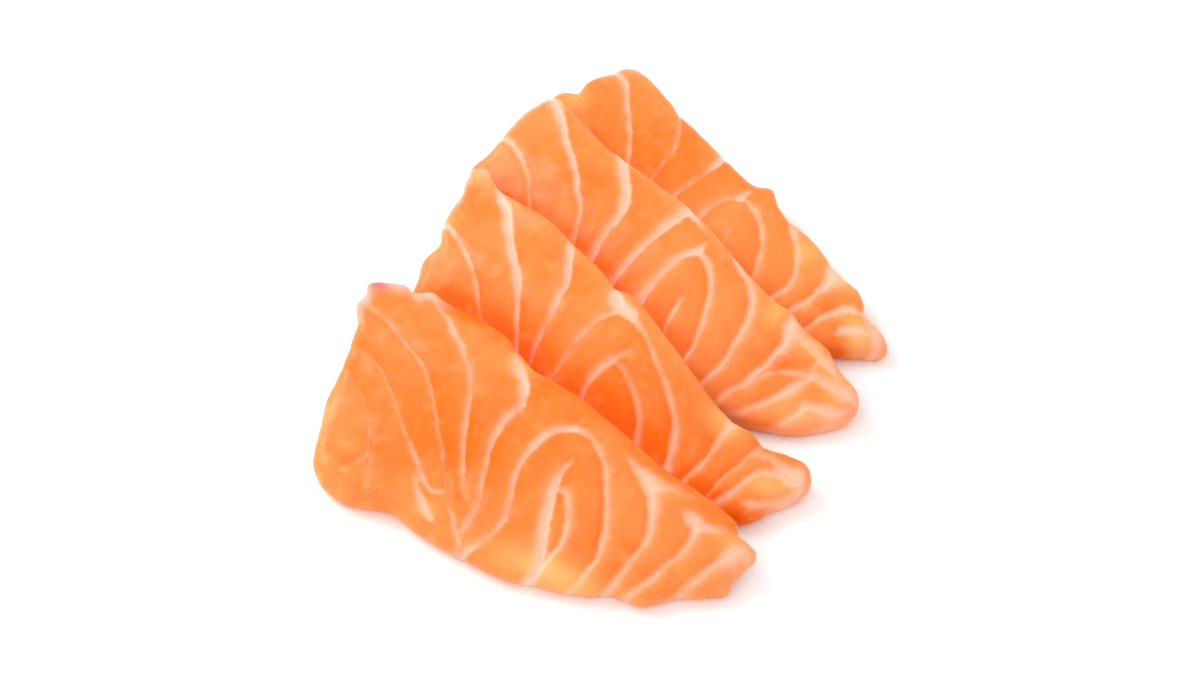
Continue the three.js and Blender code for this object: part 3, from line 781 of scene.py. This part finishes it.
def add_node(tree, kind, settings, links=()):
    """A node of a kind, with its settings by name and its inputs by name or number."""
    node = tree.nodes.new(kind)
    for name, value in settings.items():
        setattr(node, name, value)
    for name, value in dict(links).items():
        if isinstance(value, bpy.types.NodeSocket):
            tree.links.new(value, node.inputs[name])
        else:
            node.inputs[name].default_value = value
    return node


def raw_salmon(look):
    """Raw salmon, cut with a wet knife: translucent orange muscle in fine fibres, with
    milky fat between the flakes. Light spreads about half a millimetre in it, red the
    furthest."""
    material = bpy.data.materials.new("raw salmon")
    material.use_nodes = True
    tree = material.node_tree
    tree.nodes.clear()
    cut = add_node(tree, "ShaderNodeAttribute", {"attribute_name": "cut"}).outputs["Vector"]
    fields = {name: add_node(tree, "ShaderNodeAttribute", {"attribute_name": name}).outputs["Fac"]
              for name in ("fat", "edge", "step_shading_and_streaks", "deep_flesh_and_shade", "veil", "rind", "stain")}

    # Noises, each with its size, detail and roughness: broad patches of deeper or paler
    # flesh, clouds within a flake, muscle fibres several times as long as they are apart,
    # the grain of the cut face, and pale specks that are painted glints of the wet film
    along = add_node(tree, "ShaderNodeMapping", {}, {"Vector": cut, "Scale": (0.28, 1, 1)})
    noises = {
        "patches": (cut, 9 * MM, 4, 0.62),
        "clouds": (cut, 3 * MM, 3, 0.55),
        "fibres": (along.outputs["Vector"], 0.9 * MM, 2, 0.5),
        "grain": (cut, 0.45 * MM, 2, 0.6),
        "glint_specks": (cut, 2.5 * MM, 1, 0.5),
    }
    for name, (vector, size, detail, roughness) in noises.items():
        fields[name] = add_node(tree, "ShaderNodeTexNoise", {}, {
            "Vector": vector, "Scale": 1 / size, "Detail": detail,
            "Roughness": roughness}).outputs["Fac"]

    # How pale the flesh is: a sum of fields, each by its share. The field of deeper flesh also
    # carries painted shade, and the step field painted light and shade
    tone = -0.62
    for name, share in (("patches", 1.5), ("clouds", 0.9), ("fibres", 0.3), ("edge", 0.25),
                        ("step_shading_and_streaks", 0.45), ("deep_flesh_and_shade", -0.7)):
        tone = add_node(tree, "ShaderNodeMath", {"operation": "MULTIPLY_ADD"}, {
            0: fields[name], 1: share, 2: tone}).outputs[0]
    # The fat frays into the grain on both sides
    fray = add_node(tree, "ShaderNodeMath", {"operation": "MULTIPLY_ADD"}, {
        0: fields["grain"], 1: 0.5, 2: -0.25}).outputs[0]
    frayed = add_node(tree, "ShaderNodeMath", {"operation": "MULTIPLY_ADD"}, {
        0: fray, 1: fields["fat"], 2: fields["fat"]}).outputs[0]
    # Fibres and grain stand up a little from the cut face
    relief = add_node(tree, "ShaderNodeMath", {"operation": "MULTIPLY_ADD"}, {
        0: fields["fibres"], 1: 1.4, 2: fields["grain"]}).outputs[0]

    # Ramps of a value, from where to where, and what they give at both ends. Above a tone of
    # 0 the flesh pales, below it it deepens. The deep flesh lies in the shade of the next
    # slice and shows less of its wet film
    ramps = {
        "paler": (tone, 0, 1.4, 0, 1),
        "deeper": (tone, 0, -1.1, 0, 1),
        "painted_glints": (fields["glint_specks"], 0.56, 0.74, 0, 0.15),
        "fatty": (frayed, 0.03, 1, 0, 1),
        "rough": (fields["patches"], 0.3, 0.7, 0.3, 0.42),
        "film": (fields["deep_flesh_and_shade"], 0.2, 1.2, 0.2, 0),
    }
    for name, (value, start, end, at_start, at_end) in ramps.items():
        fields[name] = add_node(tree, "ShaderNodeMapRange", {}, {
            "Value": value, "From Min": start, "From Max": end, "To Min": at_start,
            "To Max": at_end}).outputs["Result"]
    # Milky flesh, with painted glints of the wet film as pale specks in the same colour
    fields["milky"] = add_node(tree, "ShaderNodeMath", {"operation": "MAXIMUM"}, {
        0: fields["veil"], 1: fields["painted_glints"]}).outputs[0]

    # Each colour lies over the ones before it
    layers = (("paler", look.flank), ("deeper", look.crease), ("milky", look.veil),
              ("fatty", look.fat), ("rind", look.rind), ("stain", look.blood_line))
    mixed = tuple(look.deep_flesh_and_shade)
    for name, layer in layers:
        mixed = add_node(tree, "ShaderNodeMix", {"data_type": "RGBA"}, {
            0: fields[name], 6: mixed, 7: tuple(layer)}).outputs[2]

    bump = add_node(tree, "ShaderNodeBump", {}, {
        "Height": relief, "Strength": 0.35, "Distance": 0.1 * MM})
    surface = add_node(tree, "ShaderNodeBsdfPrincipled", {}, {
        "Base Color": mixed, "Roughness": fields["rough"], "IOR": 1.38,
        "Subsurface Weight": 0.75, "Subsurface Radius": (1.0, 0.38, 0.18),
        "Subsurface Scale": 0.6 * MM, "Specular IOR Level": 0.16,
        "Coat Weight": fields["film"], "Coat Roughness": 0.2,
        "Normal": bump.outputs["Normal"]})
    add_node(tree, "ShaderNodeOutputMaterial", {}, {"Surface": surface.outputs["BSDF"]})
    return material


class SASHIMI_OT_slices(bpy.types.Operator):
    """Adds the four slices of salmon over their nodes of the frame"""

    bl_idname = "sashimi.slices"
    bl_label = "Salmon slices"

    def execute(self, context):
        flesh = raw_salmon(context.scene.sashimi_flesh)
        for index, piece in enumerate(SLICES):
            skin = slice_skin(context.scene.sashimi_shape, index)
            points, cut = skin.pop("points"), skin.pop("cut")
            faces = skin_faces(*points.shape[:2])
            obj, used = mesh_from(piece["node"] + "_flesh", points, faces)
            # The noises differ from slice to slice, 100 mm apart in depth
            cut = cut.reshape(-1, 3)[used] + [0, 0, 0.1 * index]
            attribute = obj.data.attributes.new("cut", "FLOAT_VECTOR", "POINT")
            attribute.data.foreach_set("vector", cut.astype(np.float32).ravel())
            for name, values in skin.items():
                attribute = obj.data.attributes.new(name, "FLOAT", "POINT")
                attribute.data.foreach_set("value", values.ravel()[used].astype(np.float32))
            obj.data.materials.append(flesh)
            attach(obj, "root")
            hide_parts(piece["node"])
        return {"FINISHED"}


def area_light(name, place, target, size, power):
    """A square soft light at a place, turned to a target."""
    light = bpy.data.lights.new(name, "AREA")
    light.shape = "SQUARE"
    light.size = size
    light.energy = power
    obj = bpy.data.objects.new(name, light)
    obj.location = place
    obj.rotation_euler = (Vector(place) - Vector(target)).to_track_quat("Z", "Y").to_euler()
    bpy.context.scene.collection.objects.link(obj)


def add_floor(look):
    """A matt white board, just under the fan."""
    corners = np.array([(-1, -1), (1, -1), (1, 1), (-1, 1)]) * FLOOR_REACH
    points = np.column_stack([corners, np.full(4, -FLOOR_BELOW)])
    floor, _ = mesh_from("floor", points, np.array([[0, 1, 2, 3]]))
    paint = bpy.data.materials.new("matt white board")
    paint.use_nodes = True
    board = paint.node_tree.nodes["Principled BSDF"]
    board.inputs["Base Color"].default_value = tuple(look.floor)
    board.inputs["Roughness"].default_value = 0.9
    board.inputs["Specular IOR Level"].default_value = 0.1
    floor.data.materials.append(paint)


def add_room(scene):
    """An evenly white room and the lights, turned to the middle of the fan."""
    world = bpy.data.worlds.new("soft room")
    world.use_nodes = True
    room = world.node_tree.nodes["Background"]
    room.inputs["Color"].default_value = (1, 1, 1, 1)
    room.inputs["Strength"].default_value = ROOM_STRENGTH
    scene.world = world
    for name, (place, size, power) in LIGHTS.items():
        area_light(name, place, (0, 0, AIM_HEIGHT), size, power)


def add_camera(scene, look):
    """The camera, as far back as its lens needs to take in the frame's width."""
    centre = fan_centre()
    target = Vector((-centre[0], -centre[1], AIM_HEIGHT))
    azimuth, elevation = look.camera_azimuth, look.camera_elevation
    back = Vector((np.sin(azimuth) * np.cos(elevation), -np.cos(azimuth) * np.cos(elevation),
                   np.sin(elevation)))
    camera = bpy.data.cameras.new("camera")
    camera.lens = look.camera_lens
    camera.sensor_width = SENSOR_WIDTH
    camera.clip_start = 0.01
    viewer = bpy.data.objects.new("camera", camera)
    viewer.location = target + back * (look.frame_width * camera.lens / camera.sensor_width)
    viewer.rotation_euler = back.to_track_quat("Z", "Y").to_euler()
    scene.collection.objects.link(viewer)
    scene.camera = viewer


class SASHIMI_OT_stage(bpy.types.Operator):
    """Adds the floor, the soft lights and the camera"""

    bl_idname = "sashimi.stage"
    bl_label = "Stage"

    def execute(self, context):
        look = context.scene.sashimi_stage
        context.scene.view_settings.view_transform = "Standard"
        add_floor(look)
        add_room(context.scene)
        add_camera(context.scene, look)
        return {"FINISHED"}


class SASHIMI_PT_panel(bpy.types.Panel):
    """The pieces and their sizes in the 3D view's sidebar"""

    bl_idname = "SASHIMI_PT_panel"
    bl_label = "Salmon sashimi"
    bl_space_type = "VIEW_3D"
    bl_region_type = "UI"
    bl_category = "Sashimi"

    def draw(self, context):
        layout = self.layout
        layout.operator("sashimi.slices")
        for name in SliceShape.__annotations__:
            layout.prop(context.scene.sashimi_shape, name)
        for name in FleshLook.__annotations__:
            layout.prop(context.scene.sashimi_flesh, name)
        layout.operator("sashimi.stage")
        for name in StageLook.__annotations__:
            layout.prop(context.scene.sashimi_stage, name)


CLASSES = (SliceShape, FleshLook, StageLook, SASHIMI_OT_slices, SASHIMI_OT_stage, SASHIMI_PT_panel)


def register():
    for cls in CLASSES:
        bpy.utils.register_class(cls)
    bpy.types.Scene.sashimi_shape = bpy.props.PointerProperty(type=SliceShape)
    bpy.types.Scene.sashimi_flesh = bpy.props.PointerProperty(type=FleshLook)
    bpy.types.Scene.sashimi_stage = bpy.props.PointerProperty(type=StageLook)


def unregister():
    del bpy.types.Scene.sashimi_stage
    del bpy.types.Scene.sashimi_flesh
    del bpy.types.Scene.sashimi_shape
    for cls in reversed(CLASSES):
        bpy.utils.unregister_class(cls)


def main():
    register()
    bpy.ops.sashimi.slices()
    bpy.ops.sashimi.stage()


if __name__ == "__main__":
    main()
